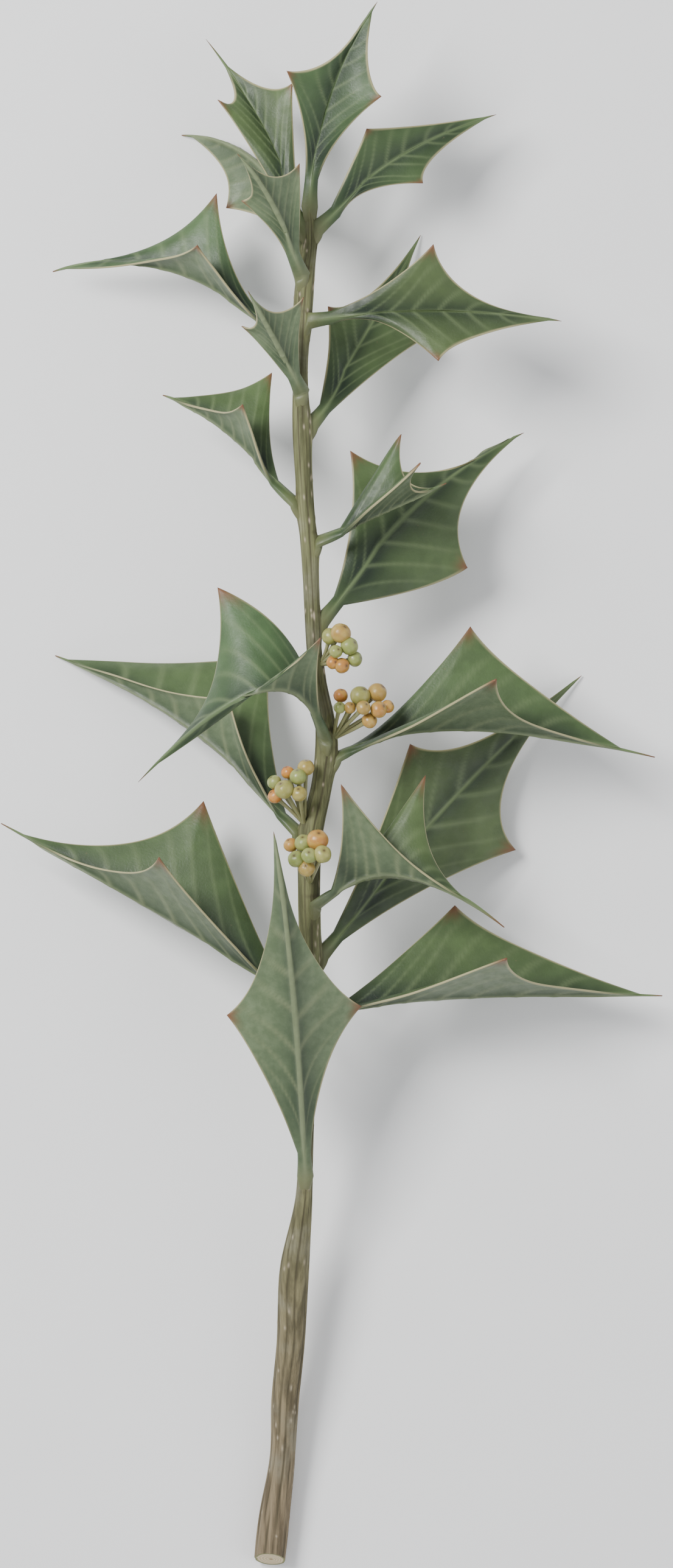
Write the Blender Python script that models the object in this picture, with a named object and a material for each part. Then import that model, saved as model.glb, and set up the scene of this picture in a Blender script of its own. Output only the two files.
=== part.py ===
"""A cut sprig of Jodina rhombifolia, lying down.

One S-shaped stem with a slanting cut at its foot, twenty stiff three-spined leaves
and four clusters of small round fruit in the leaf axils. Sizes are in millimetres
and MM turns them into metres. +Y runs along the sprig from the cut to the tip,
+X is across it and +Z is up, away from the surface that the sprig lies on.
"""
import math
from collections import namedtuple

import bmesh
import bpy
import numpy as np
from mathutils import Matrix, Vector

MM = 0.001
GAP = 0.3                     # clear space between a leaf or fruit stalk and the stem

# Stem
STEM_SIDES = 4                # bevel resolution of the round section, 12 sides
STEM_STEP = 4.0               # spacing of the points along the stem
CUT_AT = -128.0               # where the middle of the slanting cut lies
CUT_SLANT = 24.0              # degrees that the cut leans back towards the tip on its upper side
CUTTER_SIZE = 16.0

# Leaf
NECK_LENGTH = 3.6             # short stalk before the blade opens
NECK_WIDTH = 2.2
NECK_THICKNESS = 1.5
SPRING_RISE = 0.8             # how far the stalk springs out from the stem
SPRING_REACH = 0.3            # share of the midrib over which it does
RIB_THICKNESS = 1.0           # blade at the midrib
EDGE_THICKNESS = 0.6          # blade at the margin
SPINE_WIDTH = 0.5             # blade across the very tip of the end spine
HALF_COLUMNS = 2              # steps from the midrib to each margin
LOWER_BIAS = 0.65             # how near the side spine the lower margin bends
UPPER_BIAS = 0.25             # how near the side spine the upper margin bends
LOWER_STEPS = (0.22, 0.45, 0.66, 0.85, 1.0)
UPPER_STEPS = (0.07, 0.17, 0.32, 0.5, 0.7, 0.88, 1.0)
SPINE_THICKNESS = 0.5         # thinnest place, out on the end spine
STALK_ROUNDNESS = 0.85        # how far the stalk's section rounds off towards its edges
TAPER_FROM = 0.85             # share of the leaf's length after which it thins to the spine
TAPER_BLADE = 0.8             # thickness at that place, as a share of the full one
TAPER_TIP = 0.5

# Fruit
STALK_WIDTH = 0.7
KNOB_WIDTH = 1.5              # where the stalks of a cluster meet at the stem
STALK_SIDES = 6

SHARP_ANGLE = math.radians(40)

END = "end"                   # the side of a leaf that ends the stem

Station = namedtuple("Station", "along across lift width")

# The stem from the cut to the tip: how far along, across and above the surface its
# middle lies, and how thick it is there. It swells at the nodes and below the fork.
STEM = (
    Station(-132.0, -10.6, 2.3, 5.0),
    Station(-120.7, -9.4, 2.9, 5.0),
    Station(-111.0, -8.1, 3.9, 4.1),
    Station(-101.5, -7.6, 5.4, 4.5),
    Station(-91.8, -6.7, 7.1, 4.6),
    Station(-80.0, -6.1, 9.3, 4.8),
    Station(-67.5, -4.5, 11.7, 2.7),
    Station(-59.0, -4.2, 13.2, 2.4),
    Station(-44.0, -3.8, 15.8, 3.2),
    Station(-30.0, -3.4, 17.8, 3.6),
    Station(-18.0, -3.7, 19.0, 3.6),
    Station(-8.0, -3.3, 19.8, 3.8),
    Station(0.0, -1.6, 20.3, 3.4),
    Station(8.0, -0.9, 20.8, 3.4),
    Station(19.0, -2.6, 21.0, 2.5),
    Station(36.0, -3.5, 21.0, 2.7),
    Station(50.0, -4.5, 20.8, 2.8),
    Station(58.5, -4.9, 20.5, 3.0),
    Station(67.0, -5.1, 20.2, 2.4),
    Station(81.7, -4.4, 19.5, 3.1),
    Station(89.5, -3.5, 19.2, 1.9),
    Station(94.5, -3.6, 19.0, 1.5),
)

Leaf = namedtuple("Leaf", "name at side tip left right rib lower upper needle station", defaults=(
    (0.2, 0.2), (0.55, 0.55), 2.0, 0.42))

# Each leaf: where along the stem it sits, the side of the stem (0 is +X, 90 is up,
# 180 is -X), the end spine, the two side spines as seen from the upper face, the
# place that the midrib bends towards, how deeply the lower and the upper margins are
# scooped, left and right, as a share of the half leaf's width (below 0 they swell),
# the length of the bare end spine, and how far along the midrib the side spines branch.
LEAVES = (
    Leaf("leaf_01_front", -64.2, 90, (-9.5, -7.8, 32), (5.0, -36.5, 21), (-17.3, -38.0, 21),
         (-5.8, -31.0, 31), lower=(0.45, 0.22), upper=(0.65, 0.6)),
    Leaf("leaf_02_right", -37.5, 0, (54.5, -34.9, 9), (20.3, -20.0, 9), (28.8, -28.8, 27),
         (15.5, -33.5, 15), lower=(0.1, 0.3), upper=(0.2, 0.5), needle=2.5),
    Leaf("leaf_03_left", -34.7, 180, (-54.5, -6.5, 8), (-28.2, -11.8, 27), (-21.1, -2.8, 9),
         (-30.0, -19.7, 15), lower=(0.35, 0.05), upper=(0.75, 0.5), needle=4),
    Leaf("leaf_04_right_back", -28.0, -25, (41.3, 17.9, 0.4), (13.0, 6.6, 11), (30.5, -10.9, 3),
         (17.5, -2.3, 8), lower=(0.15, 0.25), upper=(0.5, 0.7)),
    Leaf("leaf_05_right_front", -19.8, 60, (28.3, -23.5, 24), (15.5, 1.4, 19), (1.5, -0.1, 29),
         (9.5, -8.2, 25), needle=5),
    Leaf("leaf_06_left_back", -8.2, 185, (-45.7, 21.2, 0.4), (-17.0, 14.0, 16), (-10.2, 20.9, 3),
         (-21.5, 12.2, 10), lower=(0.2, 0.2), upper=(0.25, 0.1)),
    Leaf("leaf_07_right", 4.6, 0, (53.1, 4.4, 18), (22.8, 25.9, 17), (27.0, 16.9, 35), (13.5, 14.0, 22),
         lower=(0.4, 0.25), upper=(0.15, 0.55), needle=3.6),
    Leaf("leaf_08_left_front", 7.4, 95, (-31.7, 0.3, 26), (-1.7, 23.7, 42), (-18.7, 32.2, 30),
         (-5.9, 27.0, 50), lower=(0.2, (9.9, 0.8, 6.0)), upper=(0.5, 0.6)),
    Leaf("leaf_09_right_back", 26.7, -10, (31.7, 57.9, 8), (3.0, 54.8, 14), (22.3, 35.6, 10),
         (12.7, 49.2, 12), lower=(0.3, -0.2), upper=(0.75, 0.65)),
    Leaf("leaf_10_right_front", 39.7, 15, (18.8, 49.3, 24), (11.5, 57.4, 22), (14.5, 52.7, 31),
         (7.5, 44.5, 24), lower=(-0.3, 0.1)),
    Leaf("leaf_11_left", 46.2, 180, (-27.8, 64.0, 12), (-14.7, 62.2, 24), (-9.8, 67.6, 12),
         (-16.9, 60.6, 16), lower=(0.3, 0.3), upper=(0.5, 0.25)),
    Leaf("leaf_12_right_back", 59.2, -20, (14.7, 90.7, 0.4), (-0.5, 78.7, 12), (16.0, 73.9, 6),
         (5.0, 72.8, 10)),
    Leaf("leaf_13_left_front", 64.2, 85, (-13.7, 80.6, 34), (-4.7, 79.8, 28), (-14.8, 74.9, 28),
         (-9.1, 72.5, 30)),
    Leaf("leaf_14_left", 72.2, 185, (-46.0, 84.5, 6), (-22.0, 88.5, 23), (-18.9, 97.2, 12),
         (-26.0, 90.8, 13), lower=(0.3, 0.5), upper=(0.6, 0.6)),
    Leaf("leaf_15_right_front", 76.0, 50, (37.7, 75.9, 24), (16.7, 88.5, 28), (17.5, 69.2, 28),
         (15.5, 79.2, 25), lower=(0.35, 0.9), upper=(0.65, 0.35)),
    Leaf("leaf_16_left_front", 83.2, 110, (-15.4, 103.0, 33), (-5.1, 101.6, 27), (-14.8, 95.5, 27),
         (-9.0, 96.2, 30), lower=(0.0, 0.5)),
    Leaf("leaf_17_left_back", 87.2, 200, (-24.8, 107.2, 0.35), (-11.0, 102.5, 3), (-17.4, 94.9, 9),
         (-9.0, 106.2, 10)),
    Leaf("leaf_18_right", 91.3, 5, (27.1, 110.2, 12), (5.7, 107.7, 18), (15.0, 98.7, 16),
         (8.5, 104.8, 16), lower=(0.05, 0.9), upper=(0.1, 0.5)),
    Leaf("leaf_19_left_top", 91.3, 185, (-20.7, 122.7, 9), (-18.8, 112.5, 15), (-6.3, 115.2, 16),
         (-9.5, 108.5, 15), upper=(0.5, 0.35), needle=5.9),
    Leaf("leaf_20_tip", 94.5, END, (7.5, 128.2, 25), (-7.4, 116.9, 25), (8.3, 112.7, 25),
         (-2.5, 113.8, 20), lower=(0.45, 0.5), upper=(0.55, 0.35)),
)

Cluster = namedtuple("Cluster", "name at side berries")

# Each cluster of fruit: where its stalks leave the stem, and each fruit's middle and width.
CLUSTERS = (
    Cluster("fruit_1_right", 19.5, 20, (
        (1.5, 24.7, 25, 3.4), (-0.2, 24.2, 24, 2.9), (2.9, 22.6, 25, 3.0), (3.8, 20.5, 24, 2.6),
        (0.7, 21.7, 26, 2.2), (0.2, 19.9, 25, 2.2), (1.7, 19.4, 25, 2.6))),
    Cluster("fruit_2_right", 7.6, 25, (
        (1.5, 14.5, 25, 2.4), (4.7, 14.4, 26, 3.4), (7.5, 15.0, 25, 3.2), (1.3, 12.5, 27, 2.0),
        (3.0, 12.5, 27, 2.0), (5.2, 12.5, 28, 2.4), (7.7, 12.2, 27, 2.8), (9.2, 12.7, 25, 2.2),
        (6.2, 10.4, 26, 2.6))),
    Cluster("fruit_3_left", -6.8, 150, (
        (-9.4, 0.3, 24, 2.4), (-7.2, 1.9, 24, 2.2), (-5.5, 1.2, 25, 2.8), (-4.2, 2.7, 24, 2.8),
        (-7.8, -0.9, 26, 3.2), (-9.3, -2.0, 24, 2.4), (-5.3, -1.6, 26, 2.6))),
    Cluster("fruit_4_front", -16.0, 85, (
        (-6.7, -10.0, 25, 2.4), (-4.6, -9.7, 26, 3.0), (-2.3, -9.2, 27, 3.6), (-5.8, -12.3, 27, 2.8),
        (-3.7, -11.7, 29, 2.6), (-1.5, -11.5, 29, 3.0), (-4.1, -13.8, 27, 2.8))),
)

LEAF_GREEN = (0.20, 0.27, 0.16)
STEM_OLIVE = (0.30, 0.31, 0.17)
FRUIT_GREEN = (0.36, 0.38, 0.14)


def smooth_value(stations, column, along):
    """A column of the stem's stations read at one place, by cubic Hermite curves between them."""
    knots = np.array([station.along for station in stations])
    values = np.array([getattr(station, column) for station in stations])
    slopes = np.gradient(values, knots)
    i = int(np.clip(np.searchsorted(knots, along) - 1, 0, len(knots) - 2))
    span = knots[i + 1] - knots[i]
    u = (along - knots[i]) / span
    start = (2 * u**3 - 3 * u**2 + 1) * values[i] + (u**3 - 2 * u**2 + u) * span * slopes[i]
    end = (3 * u**2 - 2 * u**3) * values[i + 1] + (u**3 - u**2) * span * slopes[i + 1]
    return float(start + end)


def stem_middle(along):
    """The middle of the stem at one place along it."""
    across = smooth_value(STEM, "across", along)
    lift = smooth_value(STEM, "lift", along)
    return np.array((across, along, lift))


def stem_radius(along):
    """Half the stem's thickness at one place along it."""
    return smooth_value(STEM, "width", along) / 2


def unit(vector):
    """A vector, or rows of them, at length one."""
    vector = np.asarray(vector, float)
    return vector / np.linalg.norm(vector, axis=-1, keepdims=True)


def seat(along, side, clear):
    """A point clear of the stem, beside it or past its end, and the outward direction there."""
    axis = unit(stem_middle(along) - stem_middle(along - 1))
    if side == END:
        return stem_middle(along) + axis * clear, axis
    across = unit(np.array((1.0, 0.0, 0.0)) - axis * axis[0])
    upward = np.cross(across, axis)
    angle = math.radians(side)
    outward = math.cos(angle) * across + math.sin(angle) * upward
    return stem_middle(along) + outward * (stem_radius(along) + clear), outward


def bow_curve(start, control, end, t):
    """A curve that leaves start towards control and arrives at end from it."""
    t = np.asarray(t)[:, None]
    return (1 - t)**2 * start + 2 * t * (1 - t) * control + t**2 * end


def margin(start, spine, end, out, low_scoop, high_scoop):
    """One side of the blade from its stalk to its side spine and on to its end spine."""
    low = start + LOWER_BIAS * (spine - start) + scoop(out, low_scoop)
    high = spine + UPPER_BIAS * (end - spine) + scoop(out, high_scoop)
    return bow_curve(start, low, spine, LOWER_STEPS), bow_curve(spine, high, end, UPPER_STEPS)


def scoop(out, amount):
    """How far a margin's bend is moved in: a share of the half leaf, or a step of its own."""
    return -out * amount if np.isscalar(amount) else np.array(amount, float)


def leaf_rows(leaf):
    """The leaf's middle surface as rows of points, one row for each step along the midrib."""
    foot, outward = seat(leaf.at, leaf.side, GAP)
    tip, left, right, bend = (np.array(point, float) for point in (leaf.tip, leaf.left, leaf.right, leaf.rib))
    length = np.linalg.norm(tip - foot)
    neck, blade_end = NECK_LENGTH / length, 1 - leaf.needle / length
    lower = neck + (leaf.station - neck) * np.array(LOWER_STEPS)
    upper = leaf.station + (blade_end - leaf.station) * np.array(UPPER_STEPS)
    t = np.concatenate(((0, neck / 2, neck), lower, upper, (1,)))
    rib = bow_curve(foot, bend, tip, t)
    spring = np.clip(t / SPRING_REACH, 0, 1)[:, None]
    rib = rib + outward * 4 * SPRING_RISE * spring * (1 - spring)
    heading = unit(rib[1] - rib[0])
    width = unit(right - left)
    width = unit(width - heading * (width @ heading))
    middle = bow_curve(foot, bend, tip, [leaf.station])[0]
    halves = []
    for spine, sign, i in ((left, -1, 0), (right, 1, 1)):
        stalk = rib[:3] + sign * width * NECK_WIDTH / 2
        needle = rib[-2:] + sign * width * SPINE_WIDTH / 2
        low, high = margin(stalk[2], spine, needle[0], spine - middle, leaf.lower[i], leaf.upper[i])
        halves.append(np.concatenate((stalk, low, high, needle[1:])))
    share = np.linspace(0, 1, HALF_COLUMNS + 1)[None, :, None]
    left_half, right_half = (rib[:, None] + (edge - rib)[:, None] * share for edge in halves)
    surface = np.concatenate((left_half[:, :0:-1], right_half), axis=1)
    return surface, t, foot, outward


def leaf_normals(surface):
    """The upper side's direction at each point."""
    along = np.gradient(surface, axis=0)
    across = np.gradient(surface, axis=1)
    return unit(np.cross(across, along))


def flush(ring, foot, outward):
    """A ring of points moved into the plane that faces the stem."""
    return ring - outward * ((ring - foot) @ outward)[:, None]


def leaf_thickness(t, columns):
    """Thickness by row and column: a stout stalk, a firm midrib and thinner margins."""
    edge = np.abs(np.linspace(-1, 1, columns))
    blade = RIB_THICKNESS + (EDGE_THICKNESS - RIB_THICKNESS) * edge
    taper = np.interp(t, (0.0, TAPER_FROM, 1.0), (1.0, TAPER_BLADE, TAPER_TIP))[:, None]
    body = np.maximum(blade[None, :] * taper, SPINE_THICKNESS)
    round_stalk = NECK_THICKNESS * np.sqrt(1 - (STALK_ROUNDNESS * edge)**2)
    body[:2] = round_stalk
    body[2] = (round_stalk + body[3]) / 2
    return body


def closed_loft(name, rings):
    """A closed mesh through rings of points, with a face over each end."""
    count = len(rings[0])
    mesh = bmesh.new()
    verts = [[mesh.verts.new(Vector(point) * MM) for point in ring] for ring in rings]
    for ring, following in zip(verts, verts[1:]):
        for i in range(count):
            j = (i + 1) % count
            mesh.faces.new((ring[i], ring[j], following[j], following[i]))
    mesh.faces.new(verts[0])
    mesh.faces.new(verts[-1])
    bmesh.ops.recalc_face_normals(mesh, faces=mesh.faces)
    data = bpy.data.meshes.new(name)
    mesh.to_mesh(data)
    mesh.free()
    return data


def make_leaf(leaf, material, parts):
    """One leaf as a closed solid, from its stalk to its end spine."""
    surface, t, foot, outward = leaf_rows(leaf)
    normals = leaf_normals(surface)
    half = leaf_thickness(t, surface.shape[1])[:, :, None] / 2
    upper = surface + normals * half
    under = surface - normals * half
    rings = np.concatenate((upper, under[:, ::-1]), axis=1)
    rings[0] = flush(rings[0], foot, outward)
    data = closed_loft(leaf.name, rings.tolist())
    data.materials.append(material)
    data.shade_smooth()
    data.set_sharp_from_angle(angle=SHARP_ANGLE)
    obj = bpy.data.objects.new(leaf.name, data)
    parts.objects.link(obj)
    return obj


def make_stem(material, parts, cutters):
    """The stem as a tapering round limb, cut on the slant at its foot."""
    first, last = STEM[0].along, STEM[-1].along
    places = np.linspace(first, last, round((last - first) / STEM_STEP) + 1)
    curve = bpy.data.curves.new("stem", "CURVE")
    curve.dimensions = "3D"
    curve.bevel_depth = MM
    curve.bevel_resolution = STEM_SIDES
    curve.use_fill_caps = True
    spline = curve.splines.new("POLY")
    spline.points.add(len(places) - 1)
    for point, along in zip(spline.points, places):
        point.co = (*(stem_middle(along) * MM), 1)
        point.radius = stem_radius(along)
    limb = bpy.data.objects.new("stem_curve", curve)
    parts.objects.link(limb)
    stem = to_mesh_object(limb, "stem", material, parts)
    cut_foot(stem, cutters)
    return stem


def to_mesh_object(source, name, material, parts):
    """A mesh object that takes a curve's place, with its caps welded on."""
    graph = bpy.context.evaluated_depsgraph_get()
    data = bpy.data.meshes.new_from_object(source.evaluated_get(graph))
    mesh = bmesh.new()
    mesh.from_mesh(data)
    bmesh.ops.remove_doubles(mesh, verts=mesh.verts, dist=0.00001)
    bmesh.ops.recalc_face_normals(mesh, faces=mesh.faces)
    mesh.to_mesh(data)
    mesh.free()
    data.name = name
    data.materials.clear()
    data.materials.append(material)
    data.shade_smooth()
    data.set_sharp_from_angle(angle=SHARP_ANGLE)
    obj = bpy.data.objects.new(name, data)
    obj.matrix_world = source.matrix_world
    parts.objects.link(obj)
    bpy.data.objects.remove(source)
    return obj


def cut_foot(stem, cutters):
    """A slanting cut across the foot of the stem."""
    middle = stem_middle(CUT_AT)
    bpy.ops.mesh.primitive_cube_add(size=CUTTER_SIZE * MM)
    cutter = bpy.context.object
    cutter.name = "foot_cutter"
    heading = math.atan2(*(stem_middle(CUT_AT + 1) - middle)[:2])
    cutter.rotation_euler = (math.radians(CUT_SLANT), 0, -heading)
    cutter.location = Vector(middle * MM)
    bpy.context.view_layer.update()
    cutter.location += cutter.matrix_world.to_3x3() @ Vector((0, -CUTTER_SIZE / 2 * MM, 0))
    cutter.hide_render = True
    cutter.display_type = "WIRE"
    for collection in cutter.users_collection:
        collection.objects.unlink(cutter)
    cutters.objects.link(cutter)
    cut = stem.modifiers.new("slanting_cut", "BOOLEAN")
    cut.operation = "DIFFERENCE"
    cut.object = cutter


def ball(name, middle, width, collection):
    """A small round body."""
    bpy.ops.mesh.primitive_ico_sphere_add(subdivisions=2, radius=width / 2 * MM, location=Vector(middle) * MM)
    obj = bpy.context.object
    obj.name = name
    move_to(obj, collection)
    return obj


def rod(name, start, end, width, collection):
    """A thin straight stalk between two points."""
    start, end = Vector(start), Vector(end)
    bpy.ops.mesh.primitive_cone_add(
        vertices=STALK_SIDES, radius1=width / 2 * MM, radius2=width / 2 * MM, depth=(end - start).length * MM)
    obj = bpy.context.object
    obj.name = name
    turn = (end - start).to_track_quat("Z", "Y")
    obj.matrix_world = Matrix.Translation((start + end) / 2 * MM) @ turn.to_matrix().to_4x4()
    move_to(obj, collection)
    return obj


def move_to(obj, collection):
    """Puts an object in one collection only."""
    for old in obj.users_collection:
        old.objects.unlink(obj)
    collection.objects.link(obj)


def make_cluster(cluster, material, parts):
    """The fruit of one axil with their stalks, joined into one solid."""
    pieces = bpy.data.collections.new(cluster.name + "_pieces")
    bpy.context.scene.collection.children.link(pieces)
    foot, outward = seat(cluster.at, cluster.side, GAP + KNOB_WIDTH / 2)
    knob = ball(cluster.name, foot, KNOB_WIDTH, parts)
    for i, (across, along, lift, width) in enumerate(cluster.berries):
        middle = (across, along, lift)
        ball(f"{cluster.name}_fruit_{i}", middle, width, pieces)
        rod(f"{cluster.name}_stalk_{i}", foot, middle, STALK_WIDTH, pieces)
    join = knob.modifiers.new("join", "BOOLEAN")
    join.operation = "UNION"
    join.operand_type = "COLLECTION"
    join.collection = pieces
    join.solver = "MANIFOLD"
    graph = bpy.context.evaluated_depsgraph_get()
    data = bpy.data.meshes.new_from_object(knob.evaluated_get(graph))
    knob.modifiers.clear()
    knob.data = data
    data.materials.clear()
    data.materials.append(material)
    data.shade_smooth()
    data.set_sharp_from_angle(angle=SHARP_ANGLE)
    for piece in list(pieces.objects):
        bpy.data.objects.remove(piece)
    bpy.data.collections.remove(pieces)
    return knob


def plain_material(name, color, roughness):
    """A Principled material of one colour."""
    material = bpy.data.materials.new(name)
    material.use_nodes = True
    shader = material.node_tree.nodes["Principled BSDF"]
    shader.inputs["Base Color"].default_value = (*color, 1)
    shader.inputs["Roughness"].default_value = roughness
    shader.inputs["Metallic"].default_value = 0
    return material


def main():
    for obj in list(bpy.data.objects):
        bpy.data.objects.remove(obj)
    parts = bpy.data.collections.new("jodina_sprig")
    cutters = bpy.data.collections.new("cutters")
    for collection in (parts, cutters):
        bpy.context.scene.collection.children.link(collection)
    make_stem(plain_material("bark", STEM_OLIVE, 0.7), parts, cutters)
    for leaf in LEAVES:
        make_leaf(leaf, plain_material(leaf.name, LEAF_GREEN, 0.45), parts)
    for cluster in CLUSTERS:
        make_cluster(cluster, plain_material(cluster.name, FRUIT_GREEN, 0.35), parts)


main()
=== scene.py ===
# %% [markdown]
# # A cut sprig of Jodina rhombifolia
#
# The real thing is a shoot of a small evergreen tree, with stiff rhombic leaves that
# have a spine at each side and one at the end, and small round fruit in the leaf
# axils. It was cut on the slant, lies on a pale table and is looked at from straight
# above. The part's solids come in through the frame, and each piece made here takes
# the place of one of them.

# %% Start
import math
from collections import namedtuple

import bpy
import numpy as np
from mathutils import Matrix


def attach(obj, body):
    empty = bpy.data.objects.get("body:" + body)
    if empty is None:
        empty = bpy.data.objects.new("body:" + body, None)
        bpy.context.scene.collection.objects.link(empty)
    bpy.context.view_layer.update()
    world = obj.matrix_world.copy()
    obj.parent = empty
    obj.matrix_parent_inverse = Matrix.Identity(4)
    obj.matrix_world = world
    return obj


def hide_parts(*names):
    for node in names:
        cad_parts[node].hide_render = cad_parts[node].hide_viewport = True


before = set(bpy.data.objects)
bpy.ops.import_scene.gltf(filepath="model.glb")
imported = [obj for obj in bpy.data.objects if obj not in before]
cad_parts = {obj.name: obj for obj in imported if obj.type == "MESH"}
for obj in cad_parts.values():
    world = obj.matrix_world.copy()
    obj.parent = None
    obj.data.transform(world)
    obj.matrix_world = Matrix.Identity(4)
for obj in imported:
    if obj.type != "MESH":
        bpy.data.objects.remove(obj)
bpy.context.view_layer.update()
MM = 0.001
print("frame:", len(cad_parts), "nodes")

# %% [markdown]
# ## Camera
#
# A botanical plate shows a plant without perspective. An orthographic camera could do
# that, but a long lens high above the sprig does nearly the same and still sees as an
# eye does, so that is used. Its long side takes in 257.6 mm at the level of the leaves.

# %% Camera
CAMERA_HEIGHT = 3.0          # these five are in metres
CAMERA_REACH = 20
FRAME_LONG = 0.2576          # what the picture's long side takes in
FRAME_MIDDLE_X = 0.0008      # where the picture's middle is across the sprig
LEAF_LEVEL = 0.018           # the height at which the lens takes in that length
SENSOR = 36.0                # in millimetres

lens = bpy.data.cameras.new("camera")
lens.sensor_width = SENSOR
lens.lens = SENSOR * (CAMERA_HEIGHT - LEAF_LEVEL) / FRAME_LONG
lens.clip_end = CAMERA_REACH
camera = bpy.data.objects.new("camera", lens)
camera.location = (FRAME_MIDDLE_X, 0, CAMERA_HEIGHT)
bpy.context.scene.collection.objects.link(camera)
bpy.context.scene.camera = camera
print("lens:", round(lens.lens), "mm")

# %% [markdown]
# ## Light
#
# The leaves are shaded as in soft light from the upper left. A sun or a point lamp
# would cut hard shadows, so a wide area light is the key, and two weak ones from the
# right and from the foot keep the dark sides readable. The sky is dim and cool.

# %% Lights
Lamp = namedtuple("Lamp", "name place size power")     # in metres and watts
LAMPS = (
    Lamp("key_light", (-0.42, 0.30, 0.62), 0.30, 8.4),
    Lamp("fill_light", (0.60, -0.20, 0.45), 0.60, 1.5),
    Lamp("foot_light", (0.0, -0.70, 0.40), 0.50, 1.2),
)
SKY = (0.93, 0.95, 1.0, 1)
SKY_STRENGTH = 0.6

for lamp in LAMPS:
    light = bpy.data.lights.new(lamp.name, "AREA")
    light.size = lamp.size
    light.energy = lamp.power
    obj = bpy.data.objects.new(lamp.name, light)
    obj.location = lamp.place
    obj.rotation_mode = "QUATERNION"
    obj.rotation_quaternion = (-obj.location).to_track_quat("-Z", "Y")
    bpy.context.scene.collection.objects.link(obj)
world = bpy.data.worlds.new("studio")
world.use_nodes = True
sky = world.node_tree.nodes["Background"]
sky.inputs["Color"].default_value = SKY
sky.inputs["Strength"].default_value = SKY_STRENGTH
bpy.context.scene.world = world
print("lights:", len(LAMPS))

# %% [markdown]
# ## Finishes
#
# A photograph wrapped round a piece would carry its own light and shade with it. Here
# noise gives what is strewn at random, such as specks, and the points of each mesh
# say how near they are to a vein, to the margin or to a spine, so that the colours
# follow the shape. The class keeps the calls that make nodes short.

# %% Node helpers


class Graph:
    """A material's nodes, with short calls for the kinds used here."""

    def __init__(self, name):
        self.material = bpy.data.materials.new(name)
        self.material.use_nodes = True
        self.tree = self.material.node_tree
        self.shader = self.tree.nodes["Principled BSDF"]

    def node(self, kind, **values):
        """A new node with these settings."""
        made = self.tree.nodes.new(kind)
        for key, value in values.items():
            setattr(made, key, value)
        return made

    def join(self, source, target):
        """A link from one socket to another."""
        self.tree.links.new(source, target)

    def put(self, value, socket):
        """A number or colour set on a socket, or another node's output linked to it."""
        if isinstance(value, bpy.types.NodeSocket):
            self.join(value, socket)
        else:
            socket.default_value = value

    def value(self, name):
        """What a mesh carries at its points under this name."""
        return self.node("ShaderNodeAttribute", attribute_name=name).outputs["Fac"]

    def noise(self, scale, detail, roughness=0.55, stretch=None):
        """Noise in the object's own space, with stretch as its scale along each axis."""
        place = self.node("ShaderNodeTexCoord").outputs["Object"]
        if stretch is not None:
            mapping = self.node("ShaderNodeMapping")
            mapping.inputs["Scale"].default_value = stretch
            self.join(place, mapping.inputs["Vector"])
            place = mapping.outputs["Vector"]
        made = self.node("ShaderNodeTexNoise")
        self.join(place, made.inputs["Vector"])
        made.inputs["Scale"].default_value = scale
        made.inputs["Detail"].default_value = detail
        made.inputs["Roughness"].default_value = roughness
        return made.outputs["Fac"]

    def ramp(self, value, low, high, to_low=0.0, to_high=1.0):
        """A value read between two limits and moved to another range, held at its ends."""
        made = self.node("ShaderNodeMapRange", interpolation_type="SMOOTHSTEP")
        self.put(value, made.inputs["Value"])
        for socket, number in zip(made.inputs[1:5], (low, high, to_low, to_high)):
            socket.default_value = number
        return made.outputs["Result"]

    def mix(self, share, first, second):
        """Two colours mixed: at 0 the first, at 1 the second."""
        made = self.node("ShaderNodeMix", data_type="RGBA")
        self.put(share, made.inputs[0])
        for socket, color in ((made.inputs[6], first), (made.inputs[7], second)):
            self.put((*color, 1) if isinstance(color, tuple) else color, socket)
        return made.outputs[2]

    def share_of(self, value, share):
        """A value times a share."""
        made = self.node("ShaderNodeMath", operation="MULTIPLY")
        self.put(value, made.inputs[0])
        self.put(share, made.inputs[1])
        return made.outputs[0]

    def tint(self, color, name, other, share=None):
        """A colour with another over it wherever the mesh carries the named value."""
        amount = self.value(name)
        return self.mix(amount if share is None else self.share_of(amount, share), color, other)

    def bump(self, height, distance, strength):
        """Relief on the whole skin, with its depth in metres."""
        made = self.node("ShaderNodeBump")
        made.inputs["Distance"].default_value = distance
        made.inputs["Strength"].default_value = strength
        self.join(height, made.inputs["Height"])
        self.join(made.outputs["Normal"], self.shader.inputs["Normal"])

    def finish(self, color, roughness, **constants):
        """The material, with its colour, its roughness and other values of the shader."""
        self.put(color, self.shader.inputs["Base Color"])
        self.put(roughness, self.shader.inputs["Roughness"])
        for name, number in constants.items():
            self.shader.inputs[name.replace("_", " ")].default_value = number
        return self.material


def toned(color, tone):
    """A colour with each part times a tone: under 1 it is darker, over 1 lighter."""
    return tuple(part * tone for part in color)


print("a grey of 0.5 in a tone of 0.8:", toned((0.5, 0.5, 0.5), 0.8))

# %% [markdown]
# ## Meshes
#
# Stem, leaves and fruit could be sculpted, or bent from Blender's own primitives.
# They are worked out as rows of points in millimetres instead, because a formula
# keeps every leaf true to its named spines and can be read and changed. Each row is a
# closed loop: round the stem, or over a leaf's upper side and back by its underside.

# %% Mesh helpers
TINY = 1e-12                 # what a length of nothing counts as, so that it can divide


def unit(vector):
    """A vector, or rows of them, divided by its length."""
    vector = np.asarray(vector, float)
    return vector / np.maximum(np.linalg.norm(vector, axis=-1, keepdims=True), TINY)


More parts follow.
